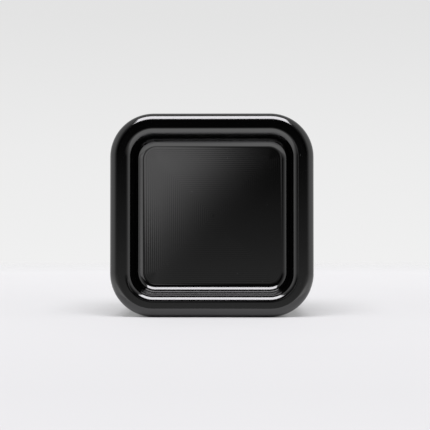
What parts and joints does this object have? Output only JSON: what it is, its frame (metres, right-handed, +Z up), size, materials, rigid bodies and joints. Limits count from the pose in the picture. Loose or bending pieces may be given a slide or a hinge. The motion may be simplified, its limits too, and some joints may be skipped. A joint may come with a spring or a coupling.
{
  "type": "square specimen jar",
  "caption": "Square machined metal specimen jar with a dished plug lid, magnetic closure, seal ring, glass liner and padded bed, lying on one flat side.",
  "frame": {"origin": "centre of the flat side that the jar rests on, below the middle of its depth", "axes": "+Z up, +Y along the jar's axis from the dished lid to the base, +X to the right as seen from in front of the lid"},
  "size_m": [0.056, 0.0424, 0.056],
  "materials": {
    "anodised_lid": "fine-milled, satin black anodised",
    "anodised_body": "fine-milled, satin black anodised",
    "seal_rubber": "smooth moulded",
    "cap_liner_sheet": "matt white faced sheet",
    "nickel": "nickel plated",
    "clear_glass": "clear, fire-polished rim",
    "silicone": "translucent satin silicone",
    "pad_cloth": "unbleached cotton over a soft core",
    "base_rubber": "fine matt grain"
  },
  "bodies": {
    "jar": {"body_shell": "anodised_body", "body_magnet_1": "nickel", "body_magnet_2": "nickel", "body_magnet_3": "nickel", "body_magnet_4": "nickel", "glass_liner": "clear_glass", "liner_band_front": "silicone", "liner_band_rear": "silicone", "liner_cushion": "silicone", "specimen_pad": "pad_cloth", "base_pad": "base_rubber"},
    "lid": {"lid_shell": "anodised_lid", "lid_seal_ring": "seal_rubber", "cap_liner": "cap_liner_sheet", "lid_magnet_1": "nickel", "lid_magnet_2": "nickel", "lid_magnet_3": "nickel", "lid_magnet_4": "nickel"}
  },
  "joints": [
    {"name": "lid_lift", "type": "slide", "parent": "jar", "child": "lid", "axis": [0, -1, 0], "range_m": [0, 0.035]}
  ]
}
